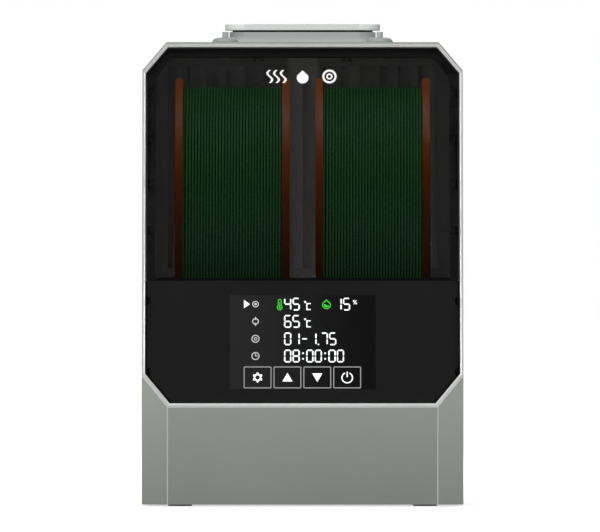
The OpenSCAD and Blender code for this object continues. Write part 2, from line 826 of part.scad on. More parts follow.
// ---- spools ----
module spool_disc(x) color(orange) {
    windows = 6;
    difference() {
        union() {
            rod_x(spool_r - 1, x, x + flange_t);
            rod_x(spool_r, x + 0.8, x + flange_t - 0.8);
        }
        rod_x(spool_bore_d / 2, x - 1, x + flange_t + 1);
        for (i = [0:windows - 1]) rotate([i * 360 / windows, 0, 0]) translate([0, 0, 67])
            rod_x(11, x - 1, x + flange_t + 1);
    }
}

module at_spool(side) translate([side * spool_x, spool_y, spool_z]) children();

module spool_hub(side) color(orange) at_spool(side) {
    reach = spool_w / 2 - flange_t;
    webs = 6;
    difference() {
        rod_x(42, -reach, reach);
        rod_x(39.5, -reach - 1, reach + 1);
    }
    difference() {
        rod_x(spool_bore_d / 2 + 2.5, -reach, reach);
        rod_x(spool_bore_d / 2, -reach - 1, reach + 1);
    }
    for (i = [0:webs - 1]) rotate([i * 360 / webs, 0, 0])
        translate([2 - reach, -1, spool_bore_d / 2 + 1.5]) cube([2 * reach - 4, 2, 39.3 - spool_bore_d / 2]);
}

module filament(side) color(filament_green) at_spool(side) {
    reach = spool_w / 2 - flange_t - 0.2;
    difference() {
        rod_x(winding_d / 2, -reach, reach);
        rod_x(42.2, -reach - 1, reach + 1);
    }
}

module spool_outer_flange_left() at_spool(-1) spool_disc(-spool_w / 2);
module spool_inner_flange_left() at_spool(-1) spool_disc(spool_w / 2 - flange_t);
module spool_hub_left() spool_hub(-1);
module filament_left() filament(-1);
module spool_outer_flange_right() at_spool(1) spool_disc(spool_w / 2 - flange_t);
module spool_inner_flange_right() at_spool(1) spool_disc(-spool_w / 2);
module spool_hub_right() spool_hub(1);
module filament_right() filament(1);

base_shell();
bottom_cover();
feet();
bottom_screws();
lower_trim();
control_panel();
panel_clips();
display_lens();
lcd_module();
touch_springs();
control_board();
board_screws();
chamber_tub();
lid_gasket();
roller_bearings();
intake_grille();
outlet_grille();
air_duct();
fan_frame();
fan_screws();
fan_impeller();
ptc_heater();
power_board();
power_inlet();
inlet_pins();
humidity_sensor();
hinge_pins();
roller_shaft_left_front();
roller_shaft_left_rear();
roller_shaft_right_front();
roller_shaft_right_rear();
rollers_left_front();
rollers_left_rear();
rollers_right_front();
rollers_right_rear();
lid_shell();
lid_liner();
window_frame();
window();
window_clips();
upper_trim();
vent_neck();
outlet_collar_left();
outlet_collar_right();
outlet_tube_left();
outlet_tube_right();
vent_cap();
vent_seal();
vent_stems();
spool_outer_flange_left();
spool_inner_flange_left();
spool_hub_left();
filament_left();
spool_outer_flange_right();
spool_inner_flange_right();
spool_hub_right();
filament_right();
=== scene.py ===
# %% [markdown]
# # A filament dryer box
# The real object is a heated box that dries two spools of printing filament. A silver-grey lower
# housing holds the heater, fan and display. A hinged upper housing has a smoked window in front.
# All the hard parts come ready made as a fixed frame. This lesson gives them their finishes, and
# builds the few things that a CAD model is poor at: wound filament, printed symbols and lit digits.

# %% Load the frame
import math
import bpy
import bmesh
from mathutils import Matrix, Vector


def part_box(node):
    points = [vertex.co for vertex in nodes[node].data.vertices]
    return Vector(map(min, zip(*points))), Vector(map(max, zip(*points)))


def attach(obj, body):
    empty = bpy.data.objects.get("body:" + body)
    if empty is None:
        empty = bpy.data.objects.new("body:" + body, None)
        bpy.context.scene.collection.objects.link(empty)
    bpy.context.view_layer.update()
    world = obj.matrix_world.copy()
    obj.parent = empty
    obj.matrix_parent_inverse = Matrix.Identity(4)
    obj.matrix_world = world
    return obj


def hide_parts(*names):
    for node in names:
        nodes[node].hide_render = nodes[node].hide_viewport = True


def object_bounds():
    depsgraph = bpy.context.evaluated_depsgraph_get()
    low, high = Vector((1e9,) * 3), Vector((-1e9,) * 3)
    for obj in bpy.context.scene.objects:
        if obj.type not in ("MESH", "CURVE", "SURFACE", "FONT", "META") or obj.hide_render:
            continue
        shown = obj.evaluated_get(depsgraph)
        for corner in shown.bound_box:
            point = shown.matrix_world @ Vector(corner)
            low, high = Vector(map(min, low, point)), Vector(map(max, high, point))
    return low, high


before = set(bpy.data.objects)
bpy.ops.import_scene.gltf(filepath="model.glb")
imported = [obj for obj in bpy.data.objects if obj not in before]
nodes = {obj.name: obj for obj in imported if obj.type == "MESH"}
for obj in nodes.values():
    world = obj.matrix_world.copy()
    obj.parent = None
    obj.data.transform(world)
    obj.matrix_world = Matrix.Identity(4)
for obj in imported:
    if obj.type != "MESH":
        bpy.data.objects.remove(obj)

cad_low, cad_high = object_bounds()
MM = 0.001
print("frame:", len(nodes), "nodes,", [round(v, 4) for v in cad_high - cad_low])

# %% [markdown]
# ## Small helpers
# Colours are easiest to pick as hex values, which are sRGB. Blender's sockets want linear light, so
# one function converts them. A second one adds any shader node, sets it up and links it, which
# keeps every material below short enough to read at a glance.

# %% Helpers
def linear(hex_colour, alpha=1.0):
    parts = [int(hex_colour[i:i + 2], 16) / 255 for i in (1, 3, 5)]
    curve = [p / 12.92 if p <= 0.04045 else ((p + 0.055) / 1.055) ** 2.4 for p in parts]
    return (*curve, alpha)


def add(tree, kind, links=None, **settings):
    """Adds a shader node. settings name attributes or, failing that, input sockets. links map an
    input's name or number to the socket that feeds it."""
    made = tree.nodes.new("ShaderNode" + kind)
    for name, value in settings.items():
        if hasattr(made, name):
            setattr(made, name, value)
        else:
            made.inputs[name.replace("_", " ")].default_value = value
    for name, socket in (links or {}).items():
        tree.links.new(socket, made.inputs[name])
    return made


def new_material(name, colour, roughness, metallic=0.0, ior=1.5, **sockets):
    made = bpy.data.materials.new(name)
    made.use_nodes = True
    shader = made.node_tree.nodes["Principled BSDF"]
    shader.inputs["Base Color"].default_value = linear(colour)
    shader.inputs["Roughness"].default_value = roughness
    shader.inputs["Metallic"].default_value = metallic
    shader.inputs["IOR"].default_value = ior
    for socket, value in sockets.items():
        shader.inputs[socket.replace("_", " ")].default_value = value
    return made, made.node_tree, shader


def finish_nodes(material, *names):
    for name in names:
        slots = nodes[name].data.materials
        slots.clear()
        slots.append(material)
    print(material.name, "on", ", ".join(names))


# %% [markdown]
# No moulded edge is perfectly sharp. On the small mouldings on top, the rounding is what catches
# the light. A frame mesh comes with split corners, so a Weld modifier joins them first, and a Bevel
# then cuts a narrow facet along every edge that turns by more than a few degrees. The mesh itself
# stays as it is. The large shells go without: on the base, two edges get a painted highlight
# instead, as lines of colour further down.

# %% Rounded edges
SAME_POINT = 0.01 * MM
SHARP = math.radians(12)


def soften(width_mm, *names):
    for name in names:
        weld = nodes[name].modifiers.new("weld", "WELD")
        weld.merge_threshold = SAME_POINT
        bevel = nodes[name].modifiers.new("soft edges", "BEVEL")
        bevel.width = width_mm * MM
        bevel.segments = 1
        bevel.limit_method = "ANGLE"
        bevel.angle_limit = SHARP
        bevel.harden_normals = True
    print(width_mm, "mm edges on", ", ".join(names))


# %% [markdown]
# Light gives one moulding different tones where it turns: a bevel, a front face and a side wall
# each catch it in their own way. Some of these tones are painted into the colour below, as painted
# highlight and painted shade. The faces could be given separate materials, but the frame's meshes
# may not be edited.
# The surface's own direction, its True Normal, tells them apart just as well. It is read in the
# object's space, so it stays right when a hinge turns the piece.

# %% Colour by direction
MASK_EDGE = 0.03


def face_mask(tree, direction, nearly=0.98):
    """1 where the surface faces direction, 0 where it turns away, as on a bevel."""
    shape = add(tree, "NewGeometry")
    turned = add(tree, "VectorTransform", {0: shape.outputs["True Normal"]}, vector_type="NORMAL",
                 convert_from="WORLD", convert_to="OBJECT")
    facing = add(tree, "VectorMath", {0: turned.outputs[0]}, operation="DOT_PRODUCT")
    facing.inputs[1].default_value = direction
    return add(tree, "MapRange", {"Value": facing.outputs["Value"]}, From_Min=nearly - MASK_EDGE,
               From_Max=nearly).outputs["Result"]


def tint(tree, shader, mask, hex_colour):
    """Where mask is 1 the surface keeps its colour, and where it is 0 it takes the new one."""
    before = shader.inputs["Base Color"].links[0].from_socket
    mixed = add(tree, "Mix", {"Factor": mask, 7: before}, data_type="RGBA")
    mixed.inputs[6].default_value = linear(hex_colour)
    tree.links.new(mixed.outputs[2], shader.inputs["Base Color"])


# %% [markdown]
# Almost every moulded or painted surface needs the same three things: a colour that varies a
# little, a roughness that varies a little, and a fine bump. They differ only in scale and strength,
# so one recipe takes those as numbers. Scales are given as the size of a grain in millimetres.

# %% A recipe for grained surfaces
def grain(tree, shader, low, high, grain_mm, depth_mm, patch_mm=60, rough=(0.4, 0.5), cloudy=0.3):
    """Colour from low to high, roughness over rough, and a bump. cloudy is the share of the broad
    patches, against the fine grain, in the colour."""
    place = add(tree, "TexCoord")
    patches = add(tree, "TexNoise", {"Vector": place.outputs["Object"]},
                  Scale=1 / (patch_mm * MM), Detail=3.0, Roughness=0.5)
    specks = add(tree, "TexNoise", {"Vector": place.outputs["Object"]},
                 Scale=1 / (grain_mm * MM), Detail=2.0, Roughness=0.6)
    both = add(tree, "Math", {0: patches.outputs["Fac"], 2: specks.outputs["Fac"]},
               operation="MULTIPLY_ADD")
    both.inputs[1].default_value = cloudy
    middle = (1 + cloudy) / 2
    colours = add(tree, "MapRange", {"Value": both.outputs[0]}, From_Min=middle - 0.25,
                  From_Max=middle + 0.25)
    varied = add(tree, "Mix", {"Factor": colours.outputs["Result"]}, data_type="RGBA")
    varied.inputs[6].default_value = linear(low)
    varied.inputs[7].default_value = linear(high)
    tree.links.new(varied.outputs[2], shader.inputs["Base Color"])
    dull = add(tree, "MapRange", {"Value": patches.outputs["Fac"]}, From_Min=0.3, From_Max=0.7,
               To_Min=rough[0], To_Max=rough[1])
    tree.links.new(dull.outputs["Result"], shader.inputs["Roughness"])
    bump = add(tree, "Bump", {"Height": specks.outputs["Fac"]}, Distance=depth_mm * MM)
    tree.links.new(bump.outputs["Normal"], shader.inputs["Normal"])
    return place, specks, bump

# %% [markdown]
# ## The stage
# The box stands on a pale sweep in soft light, seen square on from the front through a long lens,
# so that its sides stay parallel. The panel leans back 15 degrees and is glossy: it mirrors
# whatever stands 30 degrees above the camera. The soft boxes keep out of that direction, and so the
# black panel stays black.

# %% Camera
VIEW_WIDTH = 0.4007
CAMERA_BACK = 12.0
AIM_X, AIM_Z = -0.00174, 0.1606

lens = bpy.data.cameras.new("camera")
lens.sensor_width = 36
lens.lens = lens.sensor_width * CAMERA_BACK / VIEW_WIDTH
lens.clip_end = 60
camera = bpy.data.objects.new("camera", lens)
camera.location = (AIM_X, cad_low.y - CAMERA_BACK, AIM_Z)
camera.rotation_euler = (math.radians(90), 0, 0)
bpy.context.scene.collection.objects.link(camera)
bpy.context.scene.camera = camera
print("camera", [round(v, 3) for v in camera.location], "lens", round(lens.lens), "mm")

# %% Floor
sweep = bpy.data.materials.new("matt white sweep")
sweep.use_nodes = True
tree = sweep.node_tree
shader = tree.nodes["Principled BSDF"]
shader.inputs["Base Color"].default_value = linear("#b4b4b2")
shader.inputs["Roughness"].default_value = 0.9
shader.inputs["Emission Color"].default_value = (1, 1, 1, 1)
path = add(tree, "LightPath")
where = add(tree, "TexCoord")
distance = add(tree, "VectorMath", {0: where.outputs["Object"]}, operation="LENGTH")
glow = add(tree, "MapRange", {"Value": distance.outputs["Value"]}, interpolation_type="SMOOTHSTEP",
           From_Min=0.35, From_Max=1.6, To_Min=0.66, To_Max=1.0)
seen = add(tree, "Math", {0: glow.outputs["Result"], 1: path.outputs["Is Camera Ray"]},
           operation="MULTIPLY")
tree.links.new(seen.outputs[0], shader.inputs["Emission Strength"])

FLOOR = 40
UNDER_FEET = 0.2 * MM
floor_corners = [(-FLOOR, -FLOOR, 0), (FLOOR, -FLOOR, 0), (FLOOR, FLOOR, 0), (-FLOOR, FLOOR, 0)]
floor_mesh = bpy.data.meshes.new("floor")
floor_mesh.from_pydata(floor_corners, [], [(0, 1, 2, 3)])
floor_mesh.materials.append(sweep)
floor = bpy.data.objects.new("floor", floor_mesh)
floor.location.z = cad_low.z - UNDER_FEET
bpy.context.scene.collection.objects.link(floor)
print("floor", 2 * FLOOR, "m across")

# %% [markdown]
# The room is white where the camera looks straight at it and dim for every other ray, so that the
# soft boxes do the lighting. A studio would also hang a black flag where the panel mirrors
# the room. Here the flag is a dark patch of sky round that direction: the dot product of a ray with
# it is 1 at the patch's middle and smaller further out.

# %% Sky with a black flag
LEAN = math.radians(15)
MIRRORED = Vector((0, -math.cos(2 * LEAN), math.sin(2 * LEAN)))
world = bpy.data.worlds.new("studio")
world.use_nodes = True
bpy.context.scene.world = world
tree = world.node_tree
sky = tree.nodes["Background"]
where = add(tree, "TexCoord")
towards = add(tree, "VectorMath", {0: where.outputs["Generated"]}, operation="DOT_PRODUCT")
towards.inputs[1].default_value = MIRRORED
flag = add(tree, "MapRange", {"Value": towards.outputs["Value"]}, From_Min=0.7, From_Max=0.93,
           To_Min=0.17, To_Max=0.03)
path = add(tree, "LightPath")
level = add(tree, "Math", {0: path.outputs["Is Camera Ray"], 1: flag.outputs["Result"]},
            operation="MAXIMUM")
tree.links.new(level.outputs[0], sky.inputs["Strength"])
sky.inputs["Color"].default_value = (1, 1, 1, 1)
bpy.context.scene.view_settings.view_transform = "Standard"
print("sky and flag ready")

# %% Soft boxes
def soft_box(name, place, width, height, watts, aim=(0, 0, 0.15)):
    data = bpy.data.lights.new(name, "AREA")
    data.shape = "RECTANGLE"
    data.size, data.size_y, data.energy = width, height, watts
    made = bpy.data.objects.new(name, data)
    made.location = place
    made.rotation_euler = (Vector(aim) - Vector(place)).to_track_quat("-Z", "Y").to_euler()
    made.visible_camera = False
    bpy.context.scene.collection.objects.link(made)
    return made


soft_box("key", (-0.5, -0.9, 2.5), 1.2, 0.9, 44)
soft_box("front", (0.0, -3.4, 0.35), 2.0, 0.8, 17)
soft_box("left", (-2.4, -0.4, 0.8), 0.9, 1.4, 56)
soft_box("right", (2.4, -0.4, 0.8), 0.9, 1.4, 60)
soft_box("back", (0.0, 2.6, 1.6), 1.6, 1.0, 24)

# %% [markdown]
# Smoked plastic swallows three quarters of what passes it, so what is inside needs its own light. A
# few more soft boxes are linked to the inside alone, with the orange mouldings and the green
# windings lit apart, because the two need different amounts. The housing doesn't shade them, as if
# the lid were open while the light falls on the spools.

# %% Lights for the inside
spools = bpy.data.collections.new("spools")
flanges = bpy.data.collections.new("spool mouldings")
windings = bpy.data.collections.new("windings")
spools.children.link(flanges)
spools.children.link(windings)
chamber = bpy.data.collections.new("chamber walls")
floor_alone = bpy.data.collections.new("only the floor casts shade")
floor_alone.objects.link(floor)
for name, node in nodes.items():
    if name.startswith("spool_"):
        flanges.objects.link(node)
    if name in ("lid_liner", "chamber_tub"):
        chamber.objects.link(node)


def inner_light(name, place, width, height, watts, aim, spread, lit_things):
    made = soft_box(name, place, width, height, watts, aim)
    made.data.spread = math.radians(spread)
    made.light_linking.receiver_collection = lit_things
    made.light_linking.blocker_collection = floor_alone


OVER, BEFORE = (0.1, 0.02, 1.35), (0.6, -2.2, 0.3)
SPOOL_TOP, SPOOL_FRONT = (0, 0.01, 0.19), (0, 0, 0.19)
inner_light("over the flanges", OVER, 0.6, 0.4, 9.0, SPOOL_TOP, 180, flanges)
inner_light("over the windings", OVER, 0.6, 0.4, 3.4, SPOOL_TOP, 180, windings)
inner_light("before the flanges", BEFORE, 0.4, 0.8, 3.0, SPOOL_FRONT, 180, flanges)
inner_light("before the windings", BEFORE, 0.4, 0.8, 8.0, SPOOL_FRONT, 180, windings)
for side, x in (("left", -0.7), ("right", 0.7)):
    inner_light("wall light, " + side, (x, -1.0, 0.1), 0.2, 0.2, 0.4, (0, 0.13, 0.16), 50, chamber)

# %% [markdown]
# A studio shades single pieces with small cards, so that no surface burns out. Light linking
# does that here: a lamp's receiver collection can exclude pieces. The side lamps leave out the pale
# trims and the small pieces on top, which then get one soft fill of their own. All the main lamps
# leave out the spools, because those have the lamps of the inside.

# %% Lights that leave some pieces out
SMALL_TOP = ("vent_cap", "vent_neck", "outlet_collar_left", "outlet_collar_right",
             "outlet_tube_left", "outlet_tube_right")
TRIMS = ("lower_trim", "upper_trim")


def leave_out(light_names, names):
    group = bpy.data.collections.new("not " + " ".join(light_names))
    group.children.link(spools)
    group.collection_children[0].light_linking.link_state = "EXCLUDE"
    for name in names:
        group.objects.link(nodes[name])
        group.collection_objects[-1].light_linking.link_state = "EXCLUDE"
    for name in light_names:
        bpy.data.objects[name].light_linking.receiver_collection = group
    print(light_names, "leave out the spools and", names)


leave_out(("left", "right"), SMALL_TOP + TRIMS)
leave_out(("key", "front", "back"), ())
top_pieces = bpy.data.collections.new("small pieces on top")
for name in SMALL_TOP:
    top_pieces.objects.link(nodes[name])
top_fill = soft_box("fill for the top", (0.0, -2.6, 0.9), 1.6, 0.6, 19, (0, 0, 0.3))
top_fill.light_linking.receiver_collection = top_pieces

# %% [markdown]
# ## The housing
# The two shells are injection-moulded ABS with a silver-grey lacquer that has a little metal flake.
# The lacquer looks flat and slightly sparkling, never shiny. A low metallic value with a mid
# roughness gives that, and a sub-millimetre grain breaks up the highlight. Towards the floor the
# lacquer is drawn a little darker, where less light reaches it. The two long edges of the base's
# front facets are drawn as thin pale lines, a painted highlight where those edges would catch the
# light. Their place is measured on the frame's own mesh.

# %% Silver-grey lacquer
OUT = Vector((0, -math.cos(LEAN), math.sin(LEAN)))
DARK_UP_TO = 70 * MM
HIGHLIGHT_CORE, HIGHLIGHT_SOFT = 0.15 * MM, 0.55 * MM
FRONT_ENDS, FRONT_GONE = -90 * MM, -85 * MM
lacquer, tree, shader = new_material("silver-grey lacquer on ABS", "#8f938d", 0.5, metallic=0.2)
place, _, _ = grain(tree, shader, "#8a8e88", "#959992", grain_mm=0.5, depth_mm=0.012,
                    rough=(0.44, 0.54))
axes = add(tree, "SeparateXYZ", {0: place.outputs["Object"]})
high_up = add(tree, "MapRange", {"Value": axes.outputs["Z"]}, From_Max=DARK_UP_TO)
tint(tree, shader, high_up.outputs["Result"], "#7d817b")
# Painted highlight: a thin pale line along each long edge of the base's front facets.
shell = nodes["base_shell"].data
facet = max((face for face in shell.polygons
             if face.normal.x > 0.2 and face.normal.y < -0.2 and abs(face.normal.z) < 0.02),
            key=lambda face: face.area)
seam_x = min(shell.vertices[i].co.x for i in facet.vertices)
aside = add(tree, "Math", {0: axes.outputs["X"]}, operation="ABSOLUTE")
past_seam = add(tree, "Math", {0: aside.outputs[0]}, operation="SUBTRACT")
past_seam.inputs[1].default_value = seam_x
from_seam = add(tree, "Math", {0: past_seam.outputs[0]}, operation="ABSOLUTE")
off_highlight = add(tree, "MapRange", {"Value": from_seam.outputs[0]}, From_Min=HIGHLIGHT_CORE,
               From_Max=HIGHLIGHT_SOFT)
behind = add(tree, "MapRange", {"Value": axes.outputs["Y"]}, From_Min=FRONT_ENDS,
             From_Max=FRONT_GONE)
plain = add(tree, "Math", {0: off_highlight.outputs["Result"], 1: behind.outputs["Result"]},
            operation="MAXIMUM")
tint(tree, shader, plain.outputs[0], "#b2b6ae")
print("facet edges at", round(seam_x / MM, 1), "mm")
finish_nodes(lacquer, "base_shell", "lid_shell")

# %% [markdown]
# The trim round the panel is a separate moulding with a satin silver finish. It is paler than the
# housing, and its inner edge is bevelled so that it catches the light as a thin bright line. The
# bevel and the other faces that turn away from the front are drawn paler still, a painted
# highlight. The walls that face the dark panel across the shadow gap are drawn black, a painted
# shade for the gap. A wall faces inward where its direction points back to the middle of the
# moulding.

# %% Satin silver trim
for node in ("lower_trim", "upper_trim"):
    trim, tree, shader = new_material("satin silver trim, " + node, "#cfd2d0", 0.32, metallic=0.3)
    place, _, _ = grain(tree, shader, "#e4e6e5", "#eceeed", grain_mm=0.3, depth_mm=0.005,
                        rough=(0.28, 0.36))
    # Painted highlight: the bevel and other faces turned away from the front are drawn paler.
    tint(tree, shader, face_mask(tree, OUT), "#f4f5f4")
    # Painted shade: the inner walls of the shadow gap are drawn nearly black.
    middle = add(tree, "VectorMath", {0: place.outputs["Object"]}, operation="SUBTRACT")
    middle.inputs[1].default_value = sum(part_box(node), Vector()) / 2
    shape = add(tree, "NewGeometry")
    turned = add(tree, "VectorTransform", {0: shape.outputs["True Normal"]}, vector_type="NORMAL",
                 convert_from="WORLD", convert_to="OBJECT")
    outward = add(tree, "VectorMath", {0: middle.outputs[0], 1: turned.outputs[0]},
                  operation="DOT_PRODUCT")
    outside = add(tree, "MapRange", {"Value": outward.outputs["Value"]}, From_Max=1 * MM)
    silver = add(tree, "Math", {0: outside.outputs["Result"], 1: face_mask(tree, OUT, nearly=0.4)},
                 operation="MAXIMUM")
    tint(tree, shader, silver.outputs[0], "#161616")
    finish_nodes(trim, node)

# %% [markdown]
# The small pieces on top are bare ABS from a spark-eroded mould, which leaves a fine even texture
# and no shine. The tubes are extruded PTFE: waxy, smooth, and a little translucent.

# %% Moulded greys on top
def moulded(name, low, high, rough=(0.5, 0.62), grain_mm=0.45, depth_mm=0.02):
    made, tree, shader = new_material(name, low, rough[0])
    grain(tree, shader, low, high, grain_mm=grain_mm, depth_mm=depth_mm, rough=rough)
    return made


finish_nodes(moulded("spark-eroded grey ABS, cap", "#d4d8d6", "#dde1df"), "vent_cap")
finish_nodes(moulded("spark-eroded grey ABS, neck", "#bfc3c4", "#c8cccd"), "vent_neck")
finish_nodes(moulded("spark-eroded grey ABS, collars", "#8d9290", "#9ba09e"), "outlet_collar_left",
             "outlet_collar_right")
soften(0.25, "vent_cap", "vent_neck", "outlet_collar_left", "outlet_collar_right")
ptfe, tree, shader = new_material("extruded PTFE tube", "#b4b7b4", 0.35, ior=1.35,
                                  Subsurface_Weight=0.2, Subsurface_Radius=(0.002, 0.002, 0.002))
grain(tree, shader, "#adb0ad", "#bbbebb", grain_mm=0.8, depth_mm=0.01, rough=(0.3, 0.4))
finish_nodes(ptfe, "outlet_tube_left", "outlet_tube_right")

# %% [markdown]
# ## The smoked window and the black panel
# The window is a 3 mm sheet of smoked polycarbonate. It takes out most of the light on the way in
# and most again on the way out, so orange and green look very deep behind it. Alpha does this well:
# each of the sheet's two faces lets half of the light through, which leaves a quarter. Only the two
# broad faces shine, because a shiny cut edge would show as a bright rim.

# %% Smoked polycarbonate
smoked, tree, shader = new_material("smoked polycarbonate sheet", "#020202", 0.05, ior=1.585,
                                    Alpha=0.5)
place = add(tree, "TexCoord")
waves = add(tree, "TexNoise", {"Vector": place.outputs["Object"]}, Scale=14.0, Detail=1.0)
ripple = add(tree, "Bump", {"Height": waves.outputs["Fac"]}, Strength=0.15, Distance=0.0004)
tree.links.new(ripple.outputs["Normal"], shader.inputs["Normal"])
sheet = add(tree, "Math", {0: face_mask(tree, OUT), 1: face_mask(tree, -OUT)},
            operation="MAXIMUM")
shine = add(tree, "MapRange", {"Value": sheet.outputs[0]}, To_Min=0.0, To_Max=0.5)
tree.links.new(shine.outputs["Result"], shader.inputs["Specular IOR Level"])
finish_nodes(smoked, "window")

# %% [markdown]
# The panel below the window is polished black acrylic. The display's glass is set in it, and is
# drawn dark grey at its left end and black at its right. Both are nearly mirrors, so the flag in
# the sky is what keeps them black.

# %% Polished black panel and display glass
gloss_black, tree, shader = new_material("polished black PMMA", "#1b1b1b", 0.1, ior=1.49)
grain(tree, shader, "#1a1a1a", "#1e1e1e", grain_mm=2.5, depth_mm=0.002, rough=(0.08, 0.14))
finish_nodes(gloss_black, "control_panel")

lens_black, tree, shader = new_material("polished display glass", "#101010", 0.07, ior=1.52)
place, _, _ = grain(tree, shader, "#0d0d0d", "#121212", grain_mm=3, depth_mm=0.001,
                    rough=(0.06, 0.1))
lens_low, lens_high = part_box("display_lens")
axes = add(tree, "SeparateXYZ", {0: place.outputs["Object"]})
fade = add(tree, "MapRange", {"Value": axes.outputs["X"]}, interpolation_type="SMOOTHSTEP",
           From_Min=lens_low.x, From_Max=lens_high.x)
tint(tree, shader, fade.outputs["Result"], "#262626")
finish_nodes(lens_black, "display_lens")

# %% [markdown]
# ## Everything black and technical
# Hidden mouldings, rubber, screws, boards and the heater show when the lid is open or from below.
# They get the same care, because a reusable part is seen from all sides.

# %% Black mouldings and rubber
finish_nodes(moulded("fine-textured black ABS", "#131313", "#1b1b1b", rough=(0.5, 0.6)),
             "bottom_cover", "fan_frame", "fan_impeller", "power_inlet")
finish_nodes(moulded("satin black ABS frame", "#2a2a2a", "#303030", rough=(0.42, 0.52)),
             "window_frame")
clip_black = moulded("deep black ABS clips", "#030303", "#070707", rough=(0.6, 0.7))
clip_black.node_tree.nodes["Principled BSDF"].inputs["Specular IOR Level"].default_value = 0.05
finish_nodes(clip_black, "window_clips", "panel_clips")
finish_nodes(moulded("heat-resistant black PC", "#161616", "#1e1e1e", rough=(0.42, 0.52)),
             "chamber_tub", "intake_grille", "outlet_grille")
finish_nodes(moulded("grey-black PA66 duct", "#30302e", "#3c3c39"), "air_duct")
silicone = moulded("moulded black silicone", "#161616", "#1f1f1f", rough=(0.65, 0.8), grain_mm=0.8)
finish_nodes(silicone, "feet", "vent_seal", "lid_gasket")
finish_nodes(moulded("ground roller rubber", "#232323", "#2f2f2f", rough=(0.7, 0.85),
                     grain_mm=0.6, depth_mm=0.05), "rollers_left_front", "rollers_left_rear",
             "rollers_right_front", "rollers_right_rear")
finish_nodes(moulded("white ABS sensor cover", "#dcdcd6", "#e8e8e3"), "humidity_sensor")
finish_nodes(moulded("green solder mask on glass fibre", "#17442c", "#235a3a", rough=(0.3, 0.45),
                     grain_mm=1.2), "control_board", "power_board")
finish_nodes(moulded("display module bezel", "#23262a", "#2b2f34", rough=(0.25, 0.35)),
             "lcd_module")

# %% [markdown]
# A gasket has a thin soft lip that closes the last of the parting gap, so that no light shows
# between the base and the lid. The frame's gasket is only its firm body, which stops a fifth of a
# millimetre short. Four thin blocks on top of it make the lip. They belong to the base and stay
# when the lid opens.

# %% Gasket lip
LIP_REACH = 1.6 * MM
LIP_BAND = 4.8 * MM
LIP_CLEAR = 0.01 * MM
seat_low, seat_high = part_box("lid_gasket")
gap_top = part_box("window")[0].z
lip_low = Vector((seat_low.x - LIP_REACH, seat_low.y, seat_high.z))
lip_high = Vector((seat_high.x + LIP_REACH, seat_high.y, gap_top - LIP_CLEAR))
lip_mesh = bmesh.new()
for x0, x1, y0, y1 in (
        (lip_low.x, lip_low.x + LIP_BAND, lip_low.y, lip_high.y),
        (lip_high.x - LIP_BAND, lip_high.x, lip_low.y, lip_high.y),
        (lip_low.x + LIP_BAND, lip_high.x - LIP_BAND, lip_low.y, lip_low.y + LIP_BAND),
        (lip_low.x + LIP_BAND, lip_high.x - LIP_BAND, lip_high.y - LIP_BAND, lip_high.y)):
    block = bmesh.ops.create_cube(lip_mesh, size=1)["verts"]
    bmesh.ops.scale(lip_mesh, verts=block, vec=(x1 - x0, y1 - y0, lip_high.z - lip_low.z))
    bmesh.ops.translate(lip_mesh, verts=block,
                        vec=((x0 + x1) / 2, (y0 + y1) / 2, (lip_low.z + lip_high.z) / 2))
lip_data = bpy.data.meshes.new("gasket_lip")
lip_mesh.to_mesh(lip_data)
lip_mesh.free()
lip_data.materials.append(silicone)
lip = bpy.data.objects.new("gasket_lip", lip_data)
bpy.context.scene.collection.objects.link(lip)
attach(lip, "base")
print("gasket lip", round((lip_high.z - lip_low.z) / MM, 2), "mm tall")

# %% [markdown]
# The liner is smooth grey ABS. Its front part lies in the shade of the window's frame and is drawn
# nearly black. Further back it turns grey, with a paler lane down the middle of the rear wall,
# where light falls in between the two spools.

# %% Chamber liner
SHADE_ENDS, WALL_STARTS = 60 * MM, 105 * MM
LANE_HALF, LANE_GONE = 9 * MM, 12 * MM
liner, tree, shader = new_material("smooth dark grey ABS liner", "#5c5e5d", 0.5)
place, _, _ = grain(tree, shader, "#5a5c5b", "#626463", grain_mm=1.5, depth_mm=0.006,
                    rough=(0.45, 0.6))
axes = add(tree, "SeparateXYZ", {0: place.outputs["Object"]})
deep = add(tree, "MapRange", {"Value": axes.outputs["Y"]}, interpolation_type="SMOOTHSTEP",
           From_Min=SHADE_ENDS, From_Max=WALL_STARTS)
aside = add(tree, "Math", {0: axes.outputs["X"]}, operation="ABSOLUTE")
lane = add(tree, "MapRange", {"Value": aside.outputs[0]}, From_Min=LANE_HALF,
           From_Max=LANE_GONE)
tint(tree, shader, lane.outputs["Result"], "#808281")
tint(tree, shader, deep.outputs["Result"], "#161616")
finish_nodes(liner, "lid_liner")

# %% [markdown]
# Bare metal has no colour of its own under the shine, so metallic is 1 and the base colour is the
# colour of the reflection. Zinc plating is duller than ground rod, and nickel is warmer than both.

# %% Metals
def metal(name, low, high, rough, grain_mm=0.3, depth_mm=0.01):
    made, tree, shader = new_material(name, low, rough[0], metallic=1.0)
    grain(tree, shader, low, high, grain_mm=grain_mm, depth_mm=depth_mm, rough=rough)
    return made


finish_nodes(metal("zinc-plated steel", "#a6a9ad", "#bcbfc2", (0.28, 0.42)), "bottom_screws",
             "board_screws", "fan_screws", "touch_springs")
finish_nodes(metal("ground steel rod", "#a9a9a9", "#bdbdbd", (0.16, 0.26)), "hinge_pins",
             "roller_shaft_left_front", "roller_shaft_left_rear", "roller_shaft_right_front",
             "roller_shaft_right_rear", "vent_stems", "roller_bearings")
finish_nodes(metal("nickel-plated brass", "#c9c2b2", "#d8d2c4", (0.15, 0.22)), "inlet_pins")
finish_nodes(metal("folded aluminium fins", "#b9bcbe", "#cdd0d2", (0.3, 0.45)), "ptc_heater")

